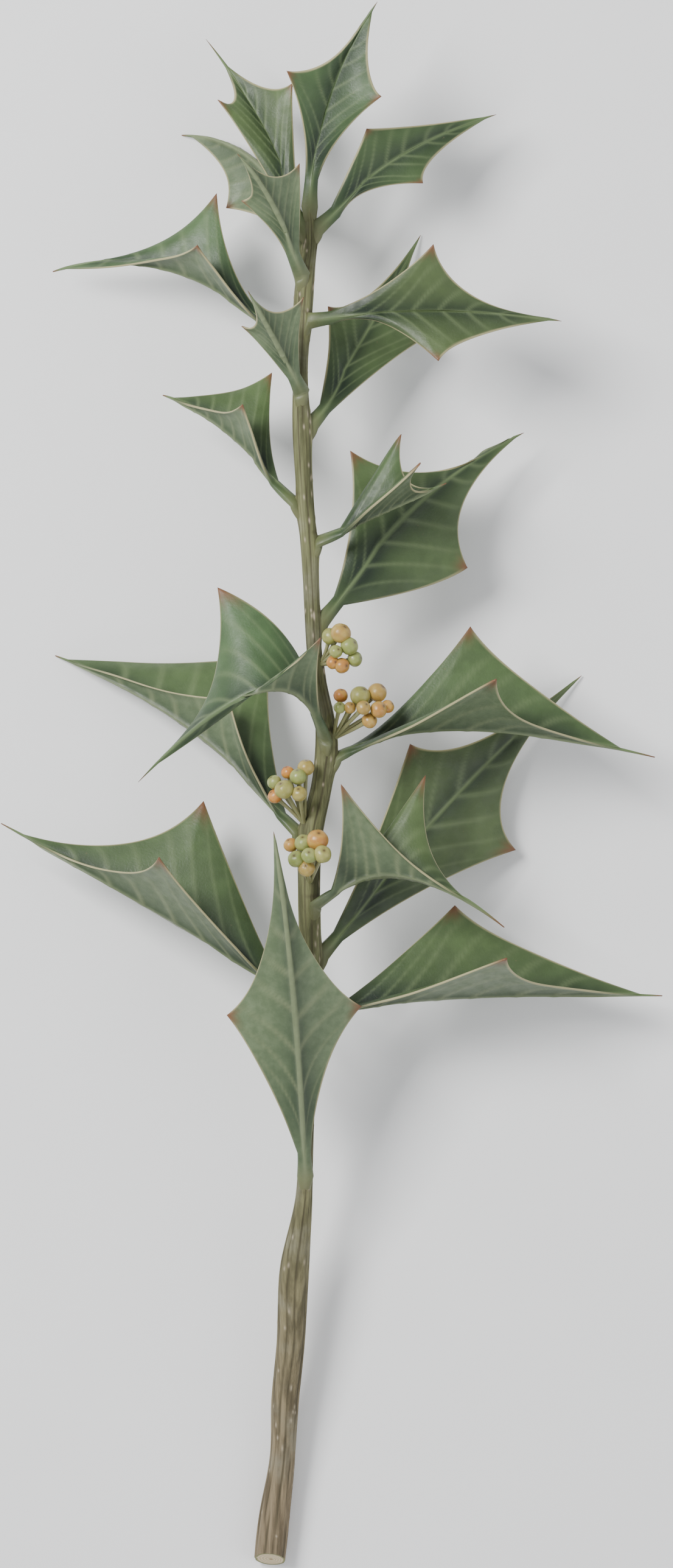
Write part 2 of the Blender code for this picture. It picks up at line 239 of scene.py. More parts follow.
def step_up(value, low, high):
    """0 below low, 1 above high, and between them t times t times 3 less 2 t."""
    t = np.clip((value - low) / (high - low), 0, 1)
    return t * t * (3 - 2 * t)


def bell(offset, width):
    """e to the power of minus the square of offset over width: 1 in the middle, 0 far out."""
    return np.exp(-(offset / width)**2)


def full_turn(count):
    """Angles evenly round a circle, without the last, which is the first again."""
    return np.linspace(0, 2 * np.pi, count, endpoint=False)


def round_axis(angles, first, second):
    """Cosine of the angle times one direction plus its sine times another, square to it."""
    return np.cos(angles)[..., None] * first + np.sin(angles)[..., None] * second


def row_faces(rows, columns, first=0):
    """Faces from each point to the next in its row and to the same two points of the next row."""
    i, j = np.meshgrid(np.arange(rows - 1), np.arange(columns), indexing="ij")
    k = (j + 1) % columns
    quads = np.stack((i * columns + j, i * columns + k, (i + 1) * columns + k, (i + 1) * columns + j), -1)
    return (quads.reshape(-1, 4) + first).tolist()


def make_piece(name, points, faces, values, material, slot, *nodes):
    """A smooth mesh piece that rides on the sprig and takes the place of its CAD nodes."""
    mesh = bpy.data.meshes.new(name)
    mesh.from_pydata((points * MM).tolist(), [], faces)
    for key, numbers in values.items():
        layer = mesh.attributes.new(key, "FLOAT", "POINT")
        layer.data.foreach_set("value", np.clip(numbers, 0, 1).astype(np.float32).ravel())
    mesh.materials.append(material)
    mesh.shade_smooth()
    mesh.update()
    piece = bpy.data.objects.new(name, mesh)
    bpy.context.scene.collection.objects.link(piece)
    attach(piece, "root")
    if nodes:
        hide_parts(*nodes)


print("a step at its middle:", step_up(0.5, 0, 1), "and a bell at its width:", bell(1.0, 1.0).round(2))

# %% [markdown]
# ## Where everything grows
#
# The sizes here are the same named millimetres as in the part's solids, so that each
# piece lies where its solid does. The stem is a twig that bends and swells, which a
# Blender curve could follow by hand. It is given by stations along it instead, each
# with a place and a width, because a table of them is easy to read and to change.

# %% Stem sizes
Station = namedtuple("Station", "along across lift width")
STEM = (
    Station(-132.0, -10.6, 2.3, 5.0),
    Station(-120.7, -9.4, 2.9, 5.0),
    Station(-111.0, -8.1, 3.9, 4.1),
    Station(-101.5, -7.6, 5.4, 4.5),
    Station(-91.8, -6.7, 7.1, 4.6),
    Station(-80.0, -6.1, 9.3, 4.8),
    Station(-67.5, -4.5, 11.7, 2.7),
    Station(-59.0, -4.2, 13.2, 2.4),
    Station(-44.0, -3.8, 15.8, 3.2),
    Station(-30.0, -3.4, 17.8, 3.6),
    Station(-18.0, -3.7, 19.0, 3.6),
    Station(-8.0, -3.3, 19.8, 3.8),
    Station(0.0, -1.6, 20.3, 3.4),
    Station(8.0, -0.9, 20.8, 3.4),
    Station(19.0, -2.6, 21.0, 2.5),
    Station(36.0, -3.5, 21.0, 2.7),
    Station(50.0, -4.5, 20.8, 2.8),
    Station(58.5, -4.9, 20.5, 3.0),
    Station(67.0, -5.1, 20.2, 2.4),
    Station(81.7, -4.4, 19.5, 3.1),
    Station(89.5, -3.5, 19.2, 1.9),
    Station(94.5, -3.6, 19.0, 1.5),
)
print("stem:", round(STEM[-1].along - STEM[0].along), "mm along its stations")

# %% [markdown]
# One leaf could be modelled and copied twenty times, but no two real ones are folded
# alike, so each has points of its own. A leaf has a place along the stem and a side,
# the angle round the stem at which it grows: 0 is to the right and 90 is up from the
# table. Then come its three spines and the point that its midrib bends towards. The
# pairs lower and upper say how far its left and right margins bend in below and above
# the side spines. Its needle is the length of the end spine, and its station is where
# along the midrib, as a share of it, the side spines stand.

# %% Leaf sizes
END = "end"                  # the side of the leaf that ends the stem
Leaf = namedtuple("Leaf", "name at side tip left right rib lower upper needle station", defaults=(
    (0.2, 0.2), (0.55, 0.55), 2.0, 0.42))
LEAVES = (
    Leaf("leaf_01_front", -64.2, 90, (-9.5, -7.8, 32), (5.0, -36.5, 21), (-17.3, -38.0, 21),
         (-5.8, -31.0, 31), lower=(0.45, 0.22), upper=(0.65, 0.6)),
    Leaf("leaf_02_right", -37.5, 0, (54.5, -34.9, 9), (20.3, -20.0, 9), (28.8, -28.8, 27),
         (15.5, -33.5, 15), lower=(0.1, 0.3), upper=(0.2, 0.5), needle=2.5),
    Leaf("leaf_03_left", -34.7, 180, (-54.5, -6.5, 8), (-28.2, -11.8, 27), (-21.1, -2.8, 9),
         (-30.0, -19.7, 15), lower=(0.35, 0.05), upper=(0.75, 0.5), needle=4),
    Leaf("leaf_04_right_back", -28.0, -25, (41.3, 17.9, 0.4), (13.0, 6.6, 11), (30.5, -10.9, 3),
         (17.5, -2.3, 8), lower=(0.15, 0.25), upper=(0.5, 0.7)),
    Leaf("leaf_05_right_front", -19.8, 60, (28.3, -23.5, 24), (15.5, 1.4, 19), (1.5, -0.1, 29),
         (9.5, -8.2, 25), needle=5),
    Leaf("leaf_06_left_back", -8.2, 185, (-45.7, 21.2, 0.4), (-17.0, 14.0, 16), (-10.2, 20.9, 3),
         (-21.5, 12.2, 10), lower=(0.2, 0.2), upper=(0.25, 0.1)),
    Leaf("leaf_07_right", 4.6, 0, (53.1, 4.4, 18), (22.8, 25.9, 17), (27.0, 16.9, 35), (13.5, 14.0, 22),
         lower=(0.4, 0.25), upper=(0.15, 0.55), needle=3.6),
    Leaf("leaf_08_left_front", 7.4, 95, (-31.7, 0.3, 26), (-1.7, 23.7, 42), (-18.7, 32.2, 30),
         (-5.9, 27.0, 50), lower=(0.2, (9.9, 0.8, 6.0)), upper=(0.5, 0.6)),
    Leaf("leaf_09_right_back", 26.7, -10, (31.7, 57.9, 8), (3.0, 54.8, 14), (22.3, 35.6, 10),
         (12.7, 49.2, 12), lower=(0.3, -0.2), upper=(0.75, 0.65)),
    Leaf("leaf_10_right_front", 39.7, 15, (18.8, 49.3, 24), (11.5, 57.4, 22), (14.5, 52.7, 31),
         (7.5, 44.5, 24), lower=(-0.3, 0.1)),
    Leaf("leaf_11_left", 46.2, 180, (-27.8, 64.0, 12), (-14.7, 62.2, 24), (-9.8, 67.6, 12),
         (-16.9, 60.6, 16), lower=(0.3, 0.3), upper=(0.5, 0.25)),
    Leaf("leaf_12_right_back", 59.2, -20, (14.7, 90.7, 0.4), (-0.5, 78.7, 12), (16.0, 73.9, 6),
         (5.0, 72.8, 10)),
    Leaf("leaf_13_left_front", 64.2, 85, (-13.7, 80.6, 34), (-4.7, 79.8, 28), (-14.8, 74.9, 28),
         (-9.1, 72.5, 30)),
    Leaf("leaf_14_left", 72.2, 185, (-46.0, 84.5, 6), (-22.0, 88.5, 23), (-18.9, 97.2, 12),
         (-26.0, 90.8, 13), lower=(0.3, 0.5), upper=(0.6, 0.6)),
    Leaf("leaf_15_right_front", 76.0, 50, (37.7, 75.9, 24), (16.7, 88.5, 28), (17.5, 69.2, 28),
         (15.5, 79.2, 25), lower=(0.35, 0.9), upper=(0.65, 0.35)),
    Leaf("leaf_16_left_front", 83.2, 110, (-15.4, 103.0, 33), (-5.1, 101.6, 27), (-14.8, 95.5, 27),
         (-9.0, 96.2, 30), lower=(0.0, 0.5)),
    Leaf("leaf_17_left_back", 87.2, 200, (-24.8, 107.2, 0.35), (-11.0, 102.5, 3), (-17.4, 94.9, 9),
         (-9.0, 106.2, 10)),
    Leaf("leaf_18_right", 91.3, 5, (27.1, 110.2, 12), (5.7, 107.7, 18), (15.0, 98.7, 16),
         (8.5, 104.8, 16), lower=(0.05, 0.9), upper=(0.1, 0.5)),
    Leaf("leaf_19_left_top", 91.3, 185, (-20.7, 122.7, 9), (-18.8, 112.5, 15), (-6.3, 115.2, 16),
         (-9.5, 108.5, 15), upper=(0.5, 0.35), needle=5.9),
    Leaf("leaf_20_tip", 94.5, END, (7.5, 128.2, 25), (-7.4, 116.9, 25), (8.3, 112.7, 25),
         (-2.5, 113.8, 20), lower=(0.45, 0.5), upper=(0.55, 0.35)),
)
print("leaves:", len(LEAVES))

# %% [markdown]
# The fruit sits in four leaf axils. It could be strewn at random, but the drawing
# shows where most of it lies, so each berry has its own middle and width. A cluster
# is a place and a side on the stem, and its berries.

# %% Fruit sizes
Cluster = namedtuple("Cluster", "name at side berries")
Berry = namedtuple("Berry", "across along lift width")
CLUSTERS = (
    Cluster("fruit_1_right", 19.5, 20, (
        (1.5, 24.7, 25, 3.4), (-0.2, 24.2, 24, 2.9), (2.9, 22.6, 25, 3.0), (3.8, 20.5, 24, 2.6),
        (0.7, 21.7, 26, 2.2), (0.2, 19.9, 25, 2.2), (1.7, 19.4, 25, 2.6))),
    Cluster("fruit_2_right", 7.6, 25, (
        (1.5, 14.5, 25, 2.4), (4.7, 14.4, 26, 3.4), (7.5, 15.0, 25, 3.2), (1.3, 12.5, 27, 2.0),
        (3.0, 12.5, 27, 2.0), (5.2, 12.5, 28, 2.4), (7.7, 12.2, 27, 2.8), (9.2, 12.7, 25, 2.2),
        (6.2, 10.4, 26, 2.6))),
    Cluster("fruit_3_left", -6.8, 150, (
        (-9.4, 0.3, 24, 2.4), (-7.2, 1.9, 24, 2.2), (-5.5, 1.2, 25, 2.8), (-4.2, 2.7, 24, 2.8),
        (-7.8, -0.9, 26, 3.2), (-9.3, -2.0, 24, 2.4), (-5.3, -1.6, 26, 2.6))),
    Cluster("fruit_4_front", -16.0, 85, (
        (-6.7, -10.0, 25, 2.4), (-4.6, -9.7, 26, 3.0), (-2.3, -9.2, 27, 3.6), (-5.8, -12.3, 27, 2.8),
        (-3.7, -11.7, 29, 2.6), (-1.5, -11.5, 29, 3.0), (-4.1, -13.8, 27, 2.8))),
)
print("berries:", sum(len(cluster.berries) for cluster in CLUSTERS))

# %% [markdown]
# ## The stem's course
#
# The real stem bends a little at each leaf. A polyline through the stations would
# show corners, so a cubic Hermite curve runs through them, which passes through every
# station and keeps its direction there. Its width changes along it in the same way.

# %% Stem course


def smooth_column(column, along):
    """One column of the stations at many places: the cubic Hermite sum of both ends and slopes."""
    knots = np.array([station.along for station in STEM])
    values = np.array([getattr(station, column) for station in STEM])
    slopes = np.gradient(values, knots)
    along = np.asarray(along, float)
    i = np.clip(np.searchsorted(knots, along) - 1, 0, len(knots) - 2)
    span = knots[i + 1] - knots[i]
    u = (along - knots[i]) / span
    start = (2 * u**3 - 3 * u**2 + 1) * values[i] + (u**3 - 2 * u**2 + u) * span * slopes[i]
    end = (3 * u**2 - 2 * u**3) * values[i + 1] + (u**3 - u**2) * span * slopes[i + 1]
    return start + end


def stem_middle(along):
    """The middle of the stem at one place or many: across, along and lift."""
    along = np.asarray(along, float)
    return np.stack((smooth_column("across", along), along, smooth_column("lift", along)), -1)


def stem_axes(along):
    """The stem's direction over the last millimetre, +X made square to it, and their cross product."""
    axis = unit(stem_middle(along) - stem_middle(np.asarray(along) - 1))
    sideways = unit(np.array((1.0, 0.0, 0.0)) - axis * axis[..., :1])
    return axis, sideways, np.cross(sideways, axis)


def seat(along, side, clear):
    """A point clear of the stem: half its width and the clearance out from its middle, or past
    its end, and the outward direction there."""
    axis, sideways, upward = stem_axes(along)
    if side == END:
        return stem_middle(along) + axis * clear, axis
    angle = math.radians(side)
    outward = math.cos(angle) * sideways + math.sin(angle) * upward
    return stem_middle(along) + outward * (smooth_column("width", along) / 2 + clear), outward


print("stem's end:", stem_middle(STEM[-1].along).round(1).tolist())

# %% [markdown]
# ## Ridges
#
# Young bark shrinks into fine lengthwise ridges as it dries. A noise texture would
# only look like relief, so the ridges are in the mesh: waves that run round the stem
# and drift as they go along it, with counts that have no common measure.

# %% Ridges
RINGS, ROUND = 1300, 72      # points along the stem and round it
CUT_AT = -128.0
RidgeWave = namedtuple("RidgeWave", "count pitch weight")        # round the stem, and along it
RIDGE_WAVES = (RidgeWave(9, 37, 1.0), RidgeWave(14, 23, 0.8), RidgeWave(21, 15, 0.6),
               RidgeWave(31, 11, 0.35))
RIDGE_DRIFT = 0.8            # how far, as an angle, a ridge drifts round the stem
RIDGE_SEED = 5

places = np.linspace(CUT_AT, STEM[-1].along, RINGS)[:, None]
angles = full_turn(ROUND)[None, :]


def ridge_waves():
    """The weighted mean of sines of count times the angle, each with a slow drift along the stem."""
    local = np.random.default_rng(RIDGE_SEED)
    total = np.zeros((RINGS, ROUND))
    for wave in RIDGE_WAVES:
        turn, drift = local.uniform(0, 2 * np.pi, 2)
        wander = RIDGE_DRIFT * np.sin(2 * np.pi * places / wave.pitch + drift)
        total += wave.weight * np.sin(wave.count * angles + turn + wander)
    return total / sum(wave.weight for wave in RIDGE_WAVES)


ridges = ridge_waves()
print("ridges from", ridges.min().round(2), "to", ridges.max().round(2))

# %% [markdown]
# ## Cushions and creases
#
# Below each leaf a shoot swells into a cushion that carries it, and a crease lies
# above it, which the bark's finish darkens with painted shade. Both are bells along
# the stem and round it, added up over all the leaves and clusters, because a sum of
# bells has no edge to hide.

# %% Cushions and creases
CUSHION = 0.42               # how far the stem swells out below a leaf
FRUIT_CUSHION = 0.21         # and below a cluster
CUSHION_BELOW = 0.9          # how far below the leaf's foot the cushion's middle lies
CUSHION_REACH = 2.6          # how far along the stem it reaches
CUSHION_FOCUS = 4.5          # how narrow it is round the stem
CREASE_ABOVE = 1.5           # how far above the leaf's foot its crease lies
CREASE_WIDTH = 0.35
CREASE_FOCUS = 3.0           # how narrow it is round the stem
CREASE_SHARE = 0.8           # how strong it is: how deep its dent and how dark its painted shade


def leaf_scars():
    """Sums of bells along the stem times e to the power of minus focus times 1 less the cosine."""
    cushions, creases = np.zeros((2, RINGS, ROUND))
    for growth in LEAVES[:-1] + CLUSTERS:
        away = 1 - np.cos(angles - math.radians(growth.side))
        size = CUSHION if growth in LEAVES else FRUIT_CUSHION
        cushions += size * np.exp(-away * CUSHION_FOCUS) * bell(
            places - growth.at + CUSHION_BELOW, CUSHION_REACH)
        creases += bell(places - growth.at - CREASE_ABOVE, CREASE_WIDTH) * np.exp(
            -away * CREASE_FOCUS) * CREASE_SHARE
    return cushions, creases


cushions, creases = leaf_scars()
print("largest cushion:", cushions.max().round(2), "mm")

# %% [markdown]
# ## Pores
#
# Bark breathes through small pale pores that are longer than wide. They are strewn at
# random, each as a bell in both directions. Only the rings near a pore are worked
# out, which keeps this quick.

# %% Pores
PORES = 240                  # how many pores there are
PORE_SEED = 28
PORES_END = 90               # the last place along the stem that may have a pore
PORE_LENGTHS = (0.22, 0.5)
PORE_WIDTH = 0.13
PORE_REACH = 1.6             # how far along the stem a pore is worked out


def bark_pores():
    """A sum of two-way bells: along by the pore's length, and round by its width, up to 1."""
    rng = np.random.default_rng(PORE_SEED)
    pore_places = rng.uniform(CUT_AT, PORES_END, PORES)
    pore_angles = rng.uniform(0, 2 * np.pi, PORES)
    pore_lengths = rng.uniform(*PORE_LENGTHS, PORES)
    pores = np.zeros((RINGS, ROUND))
    for at, turn, length in zip(pore_places, pore_angles, pore_lengths):
        near = np.abs(places[:, 0] - at) < PORE_REACH
        wide = smooth_column("width", at) / 2 * np.sin((angles - turn) / 2) * 2
        pores[near] += np.exp(-((places[near] - at) / length)**2 - (wide / PORE_WIDTH)**2)
    return np.clip(pores, 0, 1)


pores = bark_pores()
print("pores:", PORES)

# %% [markdown]
# ## Bark
#
# The shoot is grey-brown near the cut, where it is oldest, and olive above. One noise
# stretched along the stem gives both the streaks of colour and the finest relief, so
# that they agree. Where the furrows, creases and pores lie comes from the mesh, and
# the furrows and creases are darkened there with painted shade.

# %% Bark finish
YOUNG_BARK = (0.135, 0.140, 0.062)
OLD_BARK = (0.175, 0.135, 0.080)
BARK_STREAKS = (0.6, 1.4)    # tones of the dark and the light streaks
BARK_PATCH = (0.27, 0.26, 0.19)
FURROW_PAINTED_SHADE = (0.050, 0.042, 0.021)
CREASE_PAINTED_SHADE = (0.075, 0.065, 0.035)
PORE = (0.40, 0.34, 0.24)


def bark_material():
    """Bark: olive when young, grey-brown when old, pale pores, painted shade in furrows and creases."""
    g = Graph("young_bark")
    strands = g.noise(scale=900, detail=6, roughness=0.62, stretch=(1.0, 0.07, 1.0))
    streak = g.ramp(strands, 0.34, 0.67)
    young, old = (g.mix(streak, *(toned(bark, tone) for tone in BARK_STREAKS))
                  for bark in (YOUNG_BARK, OLD_BARK))
    color = g.tint(young, "age", old)
    patches = g.ramp(g.noise(scale=130, detail=5), 0.5, 0.72)
    color = g.mix(g.share_of(patches, 0.4), color, BARK_PATCH)
    # painted shade: darker colour in the furrows between the ridges
    color = g.tint(color, "furrow_shade", FURROW_PAINTED_SHADE, share=0.75)
    # painted shade in the crease above each leaf
    color = g.tint(color, "crease_shade", CREASE_PAINTED_SHADE)
    color = g.tint(color, "pore", PORE)
    g.bump(strands, distance=0.0004, strength=0.9)
    roughness = g.ramp(strands, 0.3, 0.7, to_low=0.78, to_high=0.6)
    return g.finish(color, roughness, Specular_IOR_Level=0.3)


bark = bark_material()
print("bark:", len(bark.node_tree.nodes), "nodes")

# %% [markdown]
# ## The stem's skin
#
# The skin is a tube round the stem's course, with the ridges, cushions, creases and
# pores added to its radius. Its first ring lies in the slanting cut, and the next
# ones turn square to the stem little by little, so no ring crosses another. Two faults
# are left in it: as its rings and angles run, its faces point inwards, and its upper
# end is open.

# %% Stem skin
STEM_CLEAR = 0.02            # the least height of its skin above the table
CUT_SLANT = math.radians(24.0)
CUT_FADE = 0.035             # share of the stem over which its rings turn square again
OLD_AT, YOUNG_AT = -125, -40           # where the bark is all old and where it is all young
RIDGE = 0.14                 # height of the lengthwise ridges on old bark
YOUNG_RIDGE = 0.45           # share of that height on young bark
PORE_RISE = 0.07
CREASE_DEPTH = 0.06
FURROW_FROM, FURROW_TO = 0.12, 0.62    # depths between ridges where the painted shade of a furrow starts and is full

age = 1 - step_up(places, OLD_AT, YOUNG_AT) * np.ones_like(angles)
radius = (smooth_column("width", places) / 2 + RIDGE * ridges * (YOUNG_RIDGE + (1 - YOUNG_RIDGE) * age)
          + cushions + PORE_RISE * pores - CREASE_DEPTH * creases)
cut_rise = np.tan(CUT_SLANT) * np.sin(angles) * smooth_column("width", CUT_AT) / 2
share = (places - CUT_AT) / (STEM[-1].along - CUT_AT)
moved = places + cut_rise * (1 - step_up(share, 0.0, CUT_FADE))
_, sideways, upward = stem_axes(moved)
skin = stem_middle(moved) + radius[..., None] * round_axis(angles, sideways, upward)
skin[..., 2] = np.maximum(skin[..., 2], STEM_CLEAR)
# the furrow and crease values say where painted shade darkens the bark
stem_values = {"age": age, "crease_shade": creases, "pore": pores,
               "furrow_shade": step_up(-ridges, FURROW_FROM, FURROW_TO)}
make_piece("stem_skin", skin.reshape(-1, 3), row_faces(RINGS, ROUND), stem_values, bark, "bark", "stem")
print("stem skin:", RINGS * ROUND, "points")

# %% [markdown]
# ## The cut
#
# A fresh cut shows pale wood with growth rings, dark pith in the middle and a green
# rim under the bark. A flat disc with a picture of rings would do from afar. Here
# rows shrink from the skin's own first ring to a heart a little off its middle, so
# disc and bark share one outline, and the rings follow the rows. The last row is a
# small circle, so a pinhole is left at the heart.

# %% Cut
CUT_ROWS = 40
HEART_SHIFT = (0.2, 0.0, 0.1)          # how far the rings' middle lies off the disc's
HEART_SIZE = 0.01                      # share of the disc at its innermost row
RIPPLE_DEPTH, RIPPLES = 0.04, 60       # faint rounds in the cut wood
RING_WAVES, RING_DRIFT = 34, 0.7       # its growth rings, and how far they are from round
WOOD_RINGS = ((0.50, 0.40, 0.24), (0.64, 0.54, 0.36))
PITH = (0.30, 0.22, 0.12)
GREEN_RIM = (0.20, 0.21, 0.09)


def cut_material():
    """Freshly cut wood: rings by the ring value, pith and rim by the reach from the heart."""
    g = Graph("cut_wood")
    color = g.mix(g.ramp(g.value("ring"), 0.2, 0.8), *WOOD_RINGS)
    color = g.mix(g.ramp(g.value("reach"), 0.16, 0.05), color, PITH)
    color = g.mix(g.ramp(g.value("reach"), 0.82, 0.93), color, GREEN_RIM)
    g.bump(g.noise(scale=2500, detail=5), distance=0.0001, strength=0.6)
    roughness = g.ramp(g.noise(scale=900, detail=4), 0.3, 0.7, to_low=0.6, to_high=0.8)
    return g.finish(color, roughness, Specular_IOR_Level=0.25)


edge_ring = skin[0]
heart = edge_ring.mean(0) + np.array(HEART_SHIFT)
reach = np.linspace(1, HEART_SIZE, CUT_ROWS)[:, None]
disc = heart + (edge_ring - heart) * reach[..., None]
disc[..., 1] += RIPPLE_DEPTH * np.sin(reach * RIPPLES) * reach * (1 - reach)
cut_values = {"reach": reach * np.ones_like(angles),
              "ring": 0.5 + 0.5 * np.sin(reach * RING_WAVES + RING_DRIFT * np.sin(angles * 2))}
make_piece("cut_face", disc.reshape(-1, 3), row_faces(CUT_ROWS, ROUND), cut_values, cut_material(), "bark")
print("cut:", CUT_ROWS * ROUND, "points")

# %% [markdown]
# ## A leaf's outline
#
# A leaf has a short stalk, a blade whose margins bend in between the spines, and an
# end spine like a needle. An outline drawn by hand for each leaf would not fold with
# it, so each margin is made of curves from spine to spine in space. Places along the
# midrib are shares of it: rows of points lie evenly in the stalk, the lower blade and
# the needle, and closer together towards the needle in the upper blade.

# %% Leaf outline
NECK_LENGTH = 3.6            # the stalk
NECK_WIDTH = 2.2
NECK_FLARE = 0.25            # how much wider the stalk is at its foot
NECK_ROWS = 7
LOWER_BIAS = 0.65            # where the lower margin bends, from the stalk to the side spine
UPPER_BIAS = 0.25            # where the upper margin bends, from the side spine to the end spine
LOWER_ROWS, UPPER_ROWS = 44, 60
UPPER_CROWDING = 1.15        # over 1 where the upper rows lie closer towards the end spine
NEEDLE_ROWS = 7
NEEDLE_WIDTH = 0.5
NEEDLE_END = 0.12            # share of its width left at its tip

along_neck, along_needle = np.linspace(0, 1, NECK_ROWS), np.linspace(0, 1, NEEDLE_ROWS)
lower_steps = np.linspace(0, 1, LOWER_ROWS + 1)[1:]
upper_steps = 1 - (1 - np.linspace(0, 1, UPPER_ROWS + 1)[1:])**UPPER_CROWDING


def bow_curve(start, control, end, t):
    """(1 - t) squared of the start, 2 t (1 - t) of the control point and t squared of the end."""
    t = np.asarray(t)[:, None]
    return (1 - t)**2 * start + 2 * t * (1 - t) * control + t**2 * end


def scoop(out, amount):
    """How far a margin's bend is moved in: a share of the half leaf, or a step of its own."""
    return -out * amount if np.isscalar(amount) else np.array(amount, float)


def leaf_margin(spine, out, sideways, scoops, rib):
    """Beside the stalk, a bow curve to the side spine, another to the needle, and beside it."""
    flare = 1 + NECK_FLARE * (1 - along_neck)[:, None]**2
    narrowing = np.linspace(1, NEEDLE_END, NEEDLE_ROWS)[:, None]
    stalk = rib[:NECK_ROWS] + sideways * NECK_WIDTH / 2 * flare
    needle = rib[-NEEDLE_ROWS:] + sideways * NEEDLE_WIDTH / 2 * narrowing
    low_bend = stalk[-1] + LOWER_BIAS * (spine - stalk[-1]) + scoop(out, scoops[0])
    high_bend = spine + UPPER_BIAS * (needle[0] - spine) + scoop(out, scoops[1])
    return np.concatenate((stalk, bow_curve(stalk[-1], low_bend, spine, lower_steps),
                           bow_curve(spine, high_bend, needle[0], upper_steps), needle[1:]))


LEAF_ROWS = NECK_ROWS + LOWER_ROWS + UPPER_ROWS + NEEDLE_ROWS - 1
print("rows in a leaf:", LEAF_ROWS)

# %% [markdown]
# ## A leaf's surface
#
# Each half of a real leaf is nearly flat and meets the other at the midrib like a
# half-open book. So each half is ruled with straight lines from the midrib to its
# margin, which folds as the leaf does and needs no bending by hand. At its foot the
# stalk runs on down the stem and sinks into it as a ridge, as it does on the plant.

# %% Leaf surface
GAP = 0.3                    # how far clear of the stem the stalk's foot is, as on the solids
SPRING_RISE = 0.8            # how far a leaf springs outward before it bends over
SPRING_REACH = 0.3           # share of the midrib over which it does
HALF = 18                    # steps from the midrib to each margin
EVEN = 0.15                  # how even these steps are: at 0 they crowd at both ends
ROOT_ROWS = 8                # rows of points in the ridge below the stalk
ROOT_NARROWING = 0.5         # how much narrower the ridge is at its lower end
ROOT_CURVE = 1.6             # over 1, so that it runs along the stem before it sinks in
SINK = 1.5                   # how deep the ridge runs into the stem
RUN_DOWN = 3.4               # how far down the stem it runs

halfway = np.linspace(0, 1, HALF + 1)
half_shares = EVEN * halfway + (1 - EVEN) * halfway * halfway * (3 - 2 * halfway)
across = np.concatenate((-half_shares[:0:-1], half_shares))[None, :]


def add_root(surface, rib, outward, axis):
    """Rows below the first: the same loop drawn in, moved down by depth and in by a power of it."""
    deep = np.linspace(1, 0, ROOT_ROWS + 1)[:-1, None, None]
    base = rib[0] + (surface[:1] - rib[0]) * (1 - ROOT_NARROWING * deep)
    root = base - outward * SINK * deep**ROOT_CURVE - axis * RUN_DOWN * deep
    return np.concatenate((root, surface))


def leaf_surface(leaf):
    """Midrib plus half share times margin less midrib. The midrib is a bow curve plus 4 x (1 - x)
    times its rise. With it come each row's place along the midrib, and where stalk and blade end."""
    foot, outward = seat(leaf.at, leaf.side, GAP)
    tip, left, right, bend = (np.array(point, float) for point in (leaf.tip, leaf.left, leaf.right, leaf.rib))
    length = np.linalg.norm(tip - foot)
    neck, blade_end = NECK_LENGTH / length, 1 - leaf.needle / length
    t = np.concatenate((neck * along_neck, neck + (leaf.station - neck) * lower_steps,
                        leaf.station + (blade_end - leaf.station) * upper_steps,
                        blade_end + (1 - blade_end) * along_needle[1:]))
    spring = np.clip(t / SPRING_REACH, 0, 1)[:, None]
    rib = bow_curve(foot, bend, tip, t) + outward * 4 * SPRING_RISE * spring * (1 - spring)
    heading = unit(rib[1] - rib[0])
    width = unit(right - left)
    width = unit(width - heading * (width @ heading))
    middle = bow_curve(foot, bend, tip, [leaf.station])[0]
    left_margin, right_margin = (
        leaf_margin(spine, spine - middle, sign * width, (leaf.lower[i], leaf.upper[i]), rib)
        for i, (spine, sign) in enumerate(((left, -1), (right, 1))))
    left_half, right_half = (rib[:, None] + (margin - rib)[:, None] * half_shares[None, :, None]
                             for margin in (left_margin, right_margin))
    surface = np.concatenate((left_half[:, :0:-1], right_half), axis=1)
    surface = add_root(surface, rib, outward, stem_axes(leaf.at)[0])
    return surface, np.concatenate((np.zeros(ROOT_ROWS), t)), neck, blade_end


def leaf_normals(surface):
    """The cross product of the steps across and along, at length one: the upper side's direction."""
    return unit(np.cross(np.gradient(surface, axis=1), np.gradient(surface, axis=0)))


print("points across a leaf:", across.size)

# %% [markdown]
# ## A leaf's thickness
#
# These leaves are leathery: about a millimetre at the midrib and half of that at the
# margin, which is rounded. A Solidify modifier gives one even thickness with square
# edges, so the thickness is worked out point by point. It becomes a round stalk
# towards the foot.

# %% Leaf thickness
NECK_THICKNESS = 1.5
NECK_ROUNDNESS = 0.93        # at 1 its section is a full ellipse
NECK_TO_BLADE = (0.45, 1.7)  # where it starts and ends to become the blade, in stalk lengths
RIB_THICKNESS = 1.0
BLADE_THICKNESS = 0.62
BLADE_FROM = 0.12            # share of the half width at which the midrib ends
EDGE_THICKNESS = 0.42
THINNER_AT = (0.0, 0.85, 1.0)          # the blade gets thinner along the midrib
THINNER = (1.0, 0.8, 0.35)             # to these shares of its thickness
ROUNDED_RIM = 0.35           # width of the rounded rim
RIM_LOSS = 0.85              # how much of the thickness, squared, it loses at the margin


